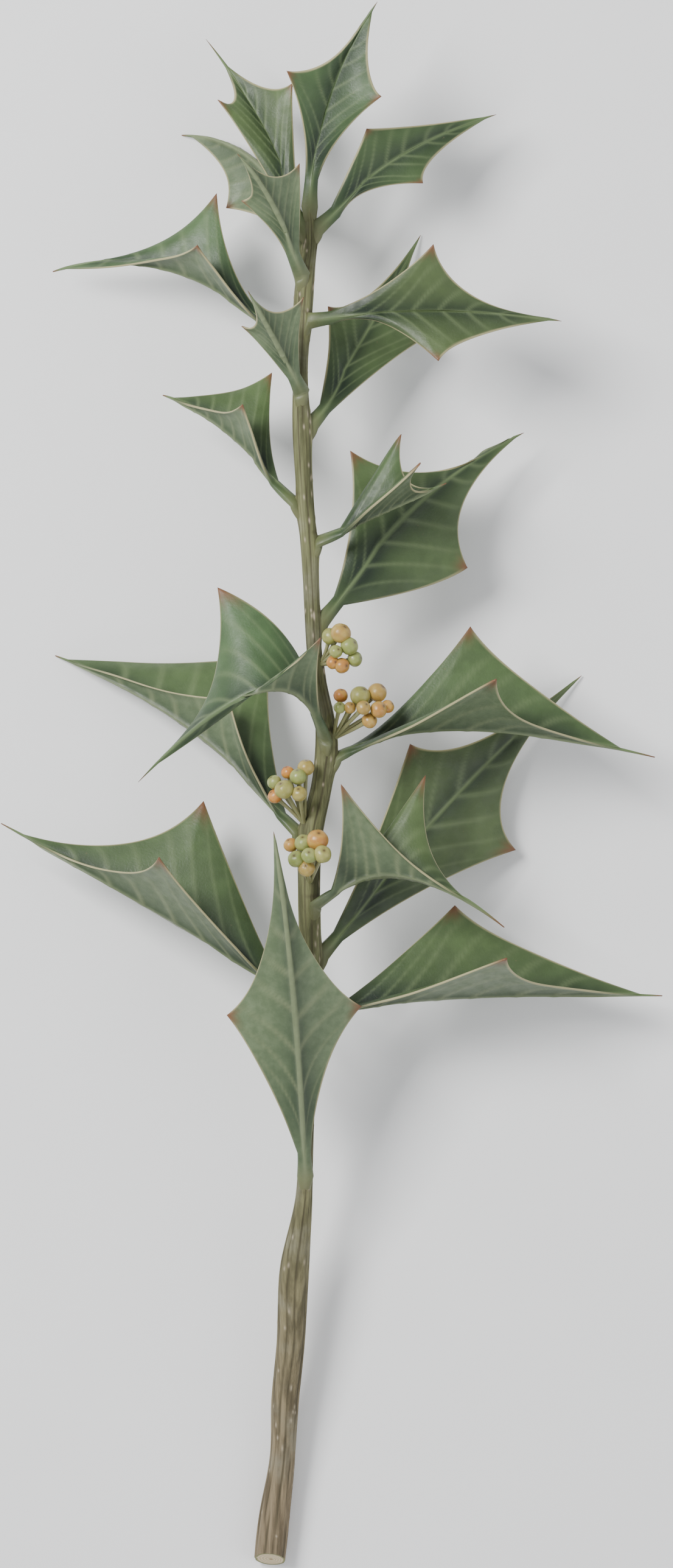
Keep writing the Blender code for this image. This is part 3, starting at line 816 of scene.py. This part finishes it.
def leaf_thickness(t, edge, to_margin, neck):
    """An ellipse in the stalk that passes into a blade thinner towards margin and tip, times the
    root of 1 less a share of the squared nearness to the margin."""
    blade = np.interp(edge, (0, BLADE_FROM, 1), (RIB_THICKNESS, BLADE_THICKNESS, EDGE_THICKNESS))
    blade = blade * np.interp(t, THINNER_AT, THINNER)
    stalk = NECK_THICKNESS * np.sqrt(1 - (NECK_ROUNDNESS * edge)**2)
    into_blade = step_up(t, neck * NECK_TO_BLADE[0], neck * NECK_TO_BLADE[1])
    body = stalk * (1 - into_blade) + blade * into_blade
    rounding = np.sqrt(1 - RIM_LOSS * np.clip(1 - to_margin / ROUNDED_RIM, 0, 1)**2)
    return body * (rounding * into_blade + 1 - into_blade)


print("thickness:", RIB_THICKNESS, "mm at the midrib and", EDGE_THICKNESS, "mm at the margin")

# %% [markdown]
# ## Veins
#
# Side veins leave the midrib in pairs and lean towards the tip. They could be painted
# on, but raised ones catch the light, so the same values move the mesh and colour it.
# No two leaves have quite the same veins.

# %% Veins
VEINS = 7                    # side veins on each half
VEIN_WIDTH = 0.0105          # as a share of the leaf
VEIN_JITTER = 0.015          # how far a vein's start may be moved along the midrib
FIRST_VEIN, LAST_VEIN = 0.03, 0.12     # shares of the leaf kept free below and above the veins
VEIN_LEAN = 0.42             # how steeply the veins run up, from a height above the side spines
VEIN_LEAN_ABOVE = 0.1
VEIN_LEAN_LOSS = 0.35        # and how much less steeply the further up they start
VEIN_BOW = 1.1               # over 1 where a vein bends up towards the margin
VEIN_FADE = 0.45             # how early it fades towards the margin


def side_veins(leaf, t, edge, neck, blade_end, local):
    """The largest of bells round lines that rise from the midrib by slope times edge to a power."""
    veins = np.zeros(edge.shape)
    for k in range(VEINS):
        jitter = local.uniform(-VEIN_JITTER, VEIN_JITTER, 2)
        origin = neck + FIRST_VEIN + (blade_end - neck - LAST_VEIN) * k / VEINS
        slope = (leaf.station + VEIN_LEAN_ABOVE - VEIN_LEAN_LOSS * origin) * VEIN_LEAN
        run = origin + np.where(across < 0, jitter[0], jitter[1]) + slope * edge**VEIN_BOW
        veins = np.maximum(veins, bell(t - run, VEIN_WIDTH) * (1 - edge)**VEIN_FADE)
    return veins


print("side veins:", 2 * VEINS * len(LEAVES))

# %% [markdown]
# ## A leaf's finish
#
# A leaf is grey-green and leathery. Beside the midrib a darker green is deepened into
# painted shade, and painted shade darkens it towards its stalk. It is paler at the
# midrib itself, on the veins and on its underside. The margin is a thin straw-coloured
# rim, and each spine ends brown. The colours are laid over each other in that order,
# each where the mesh says so.

# %% Leaf finish
LEAF_GREEN = (0.052, 0.100, 0.036)
LEAF_WARMTH = (0.03, 0.012, 0.0)       # what full warmth adds to that green
LEAF_MOTTLE = 1.28                     # how much lighter the mottled patches are
# painted shade beside the midrib and towards the stalk, on the upper side
LEAF_PAINTED_SHADE = (0.007, 0.018, 0.008)
LEAF_VEIN = (0.19, 0.25, 0.115)
UNDER_GREEN = (0.098, 0.138, 0.068)
UNDER_PALE = (0.138, 0.184, 0.096)
# painted shade beside the midrib and towards the stalk, on the underside
UNDER_PAINTED_SHADE = (0.024, 0.042, 0.019)
UNDER_VEIN = (0.26, 0.29, 0.15)
MARGIN = (0.42, 0.38, 0.20)
SPINE_END = (0.16, 0.065, 0.028)
SPECK = (0.16, 0.12, 0.06)


def leaf_material(name, tone, warmth):
    """A leaf's skin: tone makes it darker or lighter, warmth yellower."""
    g = Graph(name)
    green = toned([part + warm * warmth for part, warm in zip(LEAF_GREEN, LEAF_WARMTH)], tone)
    mottle = g.ramp(g.noise(scale=260, detail=6), 0.35, 0.7)
    upper = g.mix(mottle, green, toned(green, LEAF_MOTTLE))
    # painted shade beside the midrib and towards the stalk, on the upper side
    upper = g.tint(upper, "shade", toned(LEAF_PAINTED_SHADE, tone), share=0.95)
    upper = g.tint(upper, "vein", toned(LEAF_VEIN, tone), share=0.5)
    bloom = g.ramp(g.noise(scale=700, detail=3), 0.3, 0.75)
    under = g.mix(bloom, toned(UNDER_GREEN, tone), toned(UNDER_PALE, tone))
    # painted shade beside the midrib and towards the stalk, on the underside
    under = g.tint(under, "shade", toned(UNDER_PAINTED_SHADE, tone), share=0.85)
    under = g.tint(under, "vein", UNDER_VEIN, share=0.42)
    color = g.tint(upper, "under", under)
    color = g.tint(color, "rim", MARGIN)
    color = g.tint(color, "spine", SPINE_END)
    color = g.tint(color, "base", YOUNG_BARK)
    specks = g.ramp(g.noise(scale=1500, detail=2), 0.72, 0.8)
    color = g.mix(g.share_of(specks, 0.35), color, SPECK)
    g.bump(g.noise(scale=2600, detail=4, roughness=0.6), distance=0.00009, strength=0.5)
    roughness = g.ramp(g.noise(scale=420, detail=4), 0.3, 0.7, to_low=0.40, to_high=0.56)
    return g.finish(color, roughness, Specular_IOR_Level=0.42)


print("leaf green:", LEAF_GREEN, "and its underside:", UNDER_GREEN)

# %% [markdown]
# ## What a leaf's points carry
#
# The finish needs to know where it is on the leaf. These values say so for the whole
# grid at once: nearness to veins, margin, spines and stalk, each from 0 to 1.

# %% Leaf values
PALE_RIM = (0.10, 0.42)      # how far from the margin its pale colour starts to fade and ends
VEIN_SHARE, RIB_SHARE, RIM_SHARE = 0.8, 0.9, 0.8       # how strongly their colours show
SIDE_SPINE_LENGTH = 0.03     # share of the leaf that is brown beside a side spine
SIDE_SPINE_FROM = 0.8        # share of the half width
BROWN_NEEDLE_FROM = 0.3      # share of the end spine
SHADE_WIDTH = 2.9            # how far the painted shade beside the midrib reaches
STALK_SHADE = 0.5            # how dark the painted shade is towards the stalk
RIB_LIGHT = 0.75             # how much of the shade the midrib itself is free of
BARK_TO_GREEN = (-0.5, 0.9)  # where the stalk's colour leaves the bark's, in stalk lengths


def both_sides(upper, under, tip):
    """Values for a leaf's points: each row by its upper side and back by its underside, then the tip."""
    return np.append(np.concatenate((upper, under[:, ::-1]), axis=1).ravel(), tip)


def leaf_values(leaf, t, edge, neck, blade_end, blade, veins, midrib, half_width, to_margin):
    """Steps up and bells of the distances to midrib, margin, spines and stalk."""
    side_spine = bell(t - leaf.station, SIDE_SPINE_LENGTH) * step_up(edge, SIDE_SPINE_FROM, 1.0)
    end_spine = step_up(t, blade_end + (1 - blade_end) * BROWN_NEEDLE_FROM, 1.0)
    towards_stalk = (1 - step_up(t, neck, leaf.station)) * step_up(t, 0, neck)
    # painted shade: beside the midrib, fading towards the margin, and towards the stalk
    shade = np.exp(-half_width / SHADE_WIDTH) * blade + STALK_SHADE * towards_stalk
    from_root = np.concatenate((np.linspace(-1, 0, ROOT_ROWS), t[ROOT_ROWS:, 0] / neck))[:, None]
    grids = {
        "vein": np.maximum(veins * VEIN_SHARE, midrib * RIB_SHARE),
        "rim": (1 - step_up(to_margin, *PALE_RIM)) * blade * RIM_SHARE,
        "spine": np.maximum(end_spine, side_spine),
        "shade": shade * (1 - RIB_LIGHT * midrib),
        "base": 1 - step_up(from_root, *BARK_TO_GREEN) * np.ones_like(edge),
    }
    values = {key: both_sides(grid, grid, grid[-1].mean()) for key, grid in grids.items()}
    values["under"] = both_sides(np.zeros_like(edge), np.ones_like(edge), 0.5)
    return values


print("rows that carry values:", ROOT_ROWS + LEAF_ROWS)

# %% [markdown]
# ## The leaves
#
# A blade bulges a little between midrib and margin and undulates along its length,
# which keeps it from looking cut from card. The midrib is a groove above and a keel
# below. The upper side and the underside are one loop of points, so the margin is
# closed, and the last loop closes on a point. The foot is open inside the stem.

# %% Leaves
LEAF_SEED = 100
CROWN = 0.34                 # how far a half blade bulges up between midrib and margin
WAVE = 0.28                  # how far the blade undulates along its margins
WAVES, WAVE_SKEW = 2.2, 0.4  # along the leaf, and how far they differ from side to side
FULL_ROOM = 8                # half width of a blade that bulges and undulates in full
BLADE_START, BLADE_CLOSE = 0.12, 0.14  # shares over which the blade's forms come and go
RIB_WIDTH = 0.33
RIB_GROOVE, UNDER_RIB_RISE = 0.10, 0.20
VEIN_RISE, UNDER_VEIN_RISE = 0.05, 0.08
NEEDLE_POINT = 0.05          # how far its point stands past its last row
LEAST_HEIGHT = 0.03          # above the table
TONES, WARMTHS = (0.86, 1.14), (0, 0.7)          # the ranges that leaves' colours are drawn from


def close_leaf(upper, under, tip_step):
    """The points and faces of both sides as one loop for each row, closed by a point at the tip."""
    ring = np.concatenate((upper, under[:, ::-1]), axis=1)
    points = np.concatenate((ring.reshape(-1, 3), (ring[-1].mean(0) + tip_step)[None]))
    points[:, 2] = np.maximum(points[:, 2], LEAST_HEIGHT)
    rows, around = ring.shape[:2]
    last = (rows - 1) * around
    faces = row_faces(rows, around)
    faces += [[last + i, last + (i + 1) % around, rows * around] for i in range(around)]
    return points, faces


def make_leaf(leaf, order):
    """One leaf: its surface, lifted by a half sine and a wave, and half its thickness to each side."""
    surface, t, neck, blade_end = leaf_surface(leaf)
    t = t[:, None]
    edge = np.abs(across) * np.ones_like(t)
    normals = leaf_normals(surface)
    blade = step_up(t, neck, neck + BLADE_START) * (1 - step_up(t, blade_end - BLADE_CLOSE, blade_end))
    half_width = np.linalg.norm(surface - surface[:, HALF][:, None], axis=-1)
    to_margin = np.where(across < 0, half_width[:, :1], half_width[:, -1:]) - half_width
    room = np.clip(half_width.max(1) / FULL_ROOM, 0, 1)[:, None]
    local = np.random.default_rng(LEAF_SEED + order)
    phase = local.uniform(0, 2 * np.pi, 3)[0]      # of three draws, so that later ones stay the same
    lift = CROWN * np.sin(np.pi * edge) * blade * room
    lift += WAVE * edge**2 * np.sin(2 * np.pi * (WAVES * t + across * WAVE_SKEW) + phase) * blade * room
    veins = side_veins(leaf, t, edge, neck, blade_end, local) * blade
    midrib = bell(half_width, RIB_WIDTH)
    half_body = leaf_thickness(t, edge, to_margin, neck) / 2
    surface = surface + normals * lift[..., None]
    above = half_body - RIB_GROOVE * midrib * blade + VEIN_RISE * veins
    below = half_body + UNDER_RIB_RISE * midrib * blade + UNDER_VEIN_RISE * veins
    points, faces = close_leaf(surface + normals * above[..., None], surface - normals * below[..., None],
                               unit(surface[-1, HALF] - surface[-2, HALF]) * NEEDLE_POINT)
    values = leaf_values(leaf, t, edge, neck, blade_end, blade, veins, midrib, half_width, to_margin)
    skin_material = leaf_material(leaf.name + "_skin", local.uniform(*TONES), local.uniform(*WARMTHS))
    make_piece(leaf.name + "_blade", points, faces, values, skin_material, "leaf", leaf.name)
    return len(points)


leaf_points = [make_leaf(leaf, order) for order, leaf in enumerate(LEAVES)]
print("leaves:", len(leaf_points), "with", sum(leaf_points), "points")

# %% [markdown]
# ## A fruit and its stalk
#
# Each fruit is a small drupe, a little flattened, with a dark dimpled scar where its
# flower was. Blender's own sphere has neither scar nor lobes, so the ball is worked
# out from two angles. Its first and last rows are small circles, so a pinhole is left
# at each pole. Its stalk bows from the leaf axil and is wider at both ends.

# %% Fruit ball and stalk
BALL_ROWS, BALL_ROUND = 15, 24
BALL_POLE = 0.02             # how near a pole the first and last rows are, as an angle
BALL_LENGTH = 0.95           # share of its width
LOBES, LOBE_SIZE = 5, 0.018
LOBE_PHASE = 6               # the most that its lobes are turned round by, as an angle
DIMPLE_DEPTH, DIMPLE_WIDTH = 0.10, 0.28
SCAR_WIDTH = 0.22
STALK_ROWS, STALK_ROUND = 12, 10
STALK_WIDTH = 0.62
STALK_FOOT, STALK_FOOT_LENGTH = 0.5, 0.12        # how much wider it is at the stem, and how far up
STALK_HEAD, STALK_HEAD_LENGTH = 0.35, 0.1        # and at the fruit
ASLANT = (0.3, 0.2, 0.93)    # a direction that no stalk has


def across_pair(axis):
    """Two directions square to an axis, or to each of many: cross products, first with ASLANT."""
    first = unit(np.cross(axis, ASLANT))
    return first, np.cross(axis, first)


def fruit_ball(middle, width, axis, local):
    """A sphere from its polar angle and its turn, times 1 plus a sine of five turns, less a bell
    at the far pole. It comes with the scar's strength at each point."""
    polar = np.linspace(BALL_POLE, np.pi - BALL_POLE, BALL_ROWS)[:, None]
    turn = full_turn(BALL_ROUND)[None, :]
    lobes = 1 + LOBE_SIZE * np.sin(LOBES * turn + local.uniform(0, LOBE_PHASE)) * np.sin(polar)
    dimple = 1 - DIMPLE_DEPTH * bell(np.pi - polar, DIMPLE_WIDTH)
    size = width / 2 * lobes * dimple
    along = (-np.cos(polar))[..., None] * axis * BALL_LENGTH
    around = np.sin(polar)[..., None] * round_axis(turn, *across_pair(axis))
    scar = bell(np.pi - polar, SCAR_WIDTH) * np.ones_like(turn)
    return middle + size[..., None] * (along + around), scar


def fruit_stalk(start, end, bow):
    """Circles round a bow curve, wider by falling powers of e from both ends."""
    t = np.linspace(0, 1, STALK_ROWS)
    line = bow_curve(start, (start + end) / 2 + bow, end, t)
    first, second = across_pair(unit(np.gradient(line, axis=0)))
    width = STALK_WIDTH / 2 * (1 + STALK_FOOT * np.exp(-t / STALK_FOOT_LENGTH)
                               + STALK_HEAD * np.exp((t - 1) / STALK_HEAD_LENGTH))
    around = round_axis(full_turn(STALK_ROUND)[None, :], first[:, None], second[:, None])
    return line[:, None] + width[:, None, None] * around


print("points in a fruit and its stalk:", BALL_ROWS * BALL_ROUND + STALK_ROWS * STALK_ROUND)

# %% [markdown]
# ## The fruit's finish
#
# The fruit ripens one by one from green to orange-red, so each has a ripeness of its
# own, and a soft blush from noise. A little light under the skin makes it look juicy.

# %% Fruit finish
UNRIPE = ((0.235, 0.285, 0.075), (0.33, 0.35, 0.115))
RIPE = ((0.50, 0.17, 0.035), (0.56, 0.30, 0.06))
FRUIT_STALK = (0.26, 0.26, 0.12)
FRUIT_SCAR = (0.085, 0.05, 0.026)


def fruit_material(name):
    """Fruit skin from green to a first orange-red, with green stalks and brown scars."""
    g = Graph(name)
    blush = g.ramp(g.noise(scale=520, detail=4), 0.35, 0.68)
    color = g.mix(g.ramp(g.value("ripe"), 0.25, 1.0), g.mix(blush, *UNRIPE), g.mix(blush, *RIPE))
    color = g.tint(color, "stalk", FRUIT_STALK)
    color = g.tint(color, "scar", FRUIT_SCAR)
    g.bump(g.noise(scale=1900, detail=3), distance=0.00007, strength=0.5)
    roughness = g.ramp(g.noise(scale=800, detail=3), 0.3, 0.7, to_low=0.27, to_high=0.42)
    return g.finish(color, roughness, Specular_IOR_Level=0.5, Subsurface_Weight=0.08,
                    Subsurface_Scale=0.001)


print("fruit from", UNRIPE[0], "to", RIPE[0])

# %% [markdown]
# ## The clusters
#
# All the fruit of one axil grow from one point, so they are one piece. Each stalk
# starts inside the stem and ends inside its fruit, so no open end shows.

# %% Clusters
CLUSTER_SEED = 300
STALK_BOW = 0.25             # how far its bend is moved aside at most
STALK_SINK = 0.35            # how far it starts inside the stem
STALK_REACH = 0.45           # how near the fruit's middle it ends, in widths
RIPENESS_CURVE = 1.6         # over 1, so that most of the fruit is green


def make_cluster(cluster, order):
    """Every berry's stalk and ball in one mesh, with their values one after another."""
    local = np.random.default_rng(CLUSTER_SEED + order)
    foot, _ = seat(cluster.at, cluster.side, -STALK_SINK)
    points, faces, ripe, stalk, scar = [], [], [], [], []
    first = 0
    for berry in (Berry(*numbers) for numbers in cluster.berries):
        middle = np.array((berry.across, berry.along, berry.lift), float)
        axis = unit(middle - foot)
        stalk_points = fruit_stalk(foot, middle - axis * berry.width * STALK_REACH,
                                   local.uniform(-STALK_BOW, STALK_BOW, 3))
        ball_points, ball_scar = fruit_ball(middle, berry.width, axis, local)
        ripeness = local.uniform(0, 1)**RIPENESS_CURVE
        for grid, is_stalk, marks in ((stalk_points, 1.0, 0.0), (ball_points, 0.0, ball_scar)):
            shape = grid.shape[:2]
            points.append(grid.reshape(-1, 3))
            faces += row_faces(*shape, first)
            ripe.append(np.full(shape, ripeness).ravel())
            stalk.append(np.full(shape, is_stalk).ravel())
            scar.append(np.broadcast_to(marks, shape).ravel())
            first += shape[0] * shape[1]
    values = {"ripe": np.concatenate(ripe), "stalk": np.concatenate(stalk), "scar": np.concatenate(scar)}
    make_piece(cluster.name + "_skin", np.concatenate(points), faces, values,
               fruit_material(cluster.name + "_finish"), "fruit", cluster.name)


for order, cluster in enumerate(CLUSTERS):
    make_cluster(cluster, order)
print("fruit clusters:", len(CLUSTERS))

# %% [markdown]
# ## The table
#
# The sprig lies on plain pale paper. A pale sky alone would give the colour but no
# shadows, and these show how high each leaf stands, so it is a plane wide enough to
# fill any view. It isn't part of the sprig, so it is stage only.

# %% Table
TABLE_SIZE = 16.0            # metres
PAPER = ((0.87, 0.87, 0.86), (0.91, 0.91, 0.90))


def table_material():
    """Matt pale paper: two near whites mixed by noise."""
    g = Graph("pale_table")
    g.bump(g.noise(scale=900, detail=5), distance=0.00008, strength=0.4)
    return g.finish(g.mix(g.noise(scale=60, detail=5), *PAPER), 0.85, Specular_IOR_Level=0.15)


bpy.ops.mesh.primitive_plane_add(size=TABLE_SIZE, location=(0, 0, 0))
table = bpy.context.object
table.name = "table"
table.data.materials.append(table_material())
print("table:", TABLE_SIZE, "m")
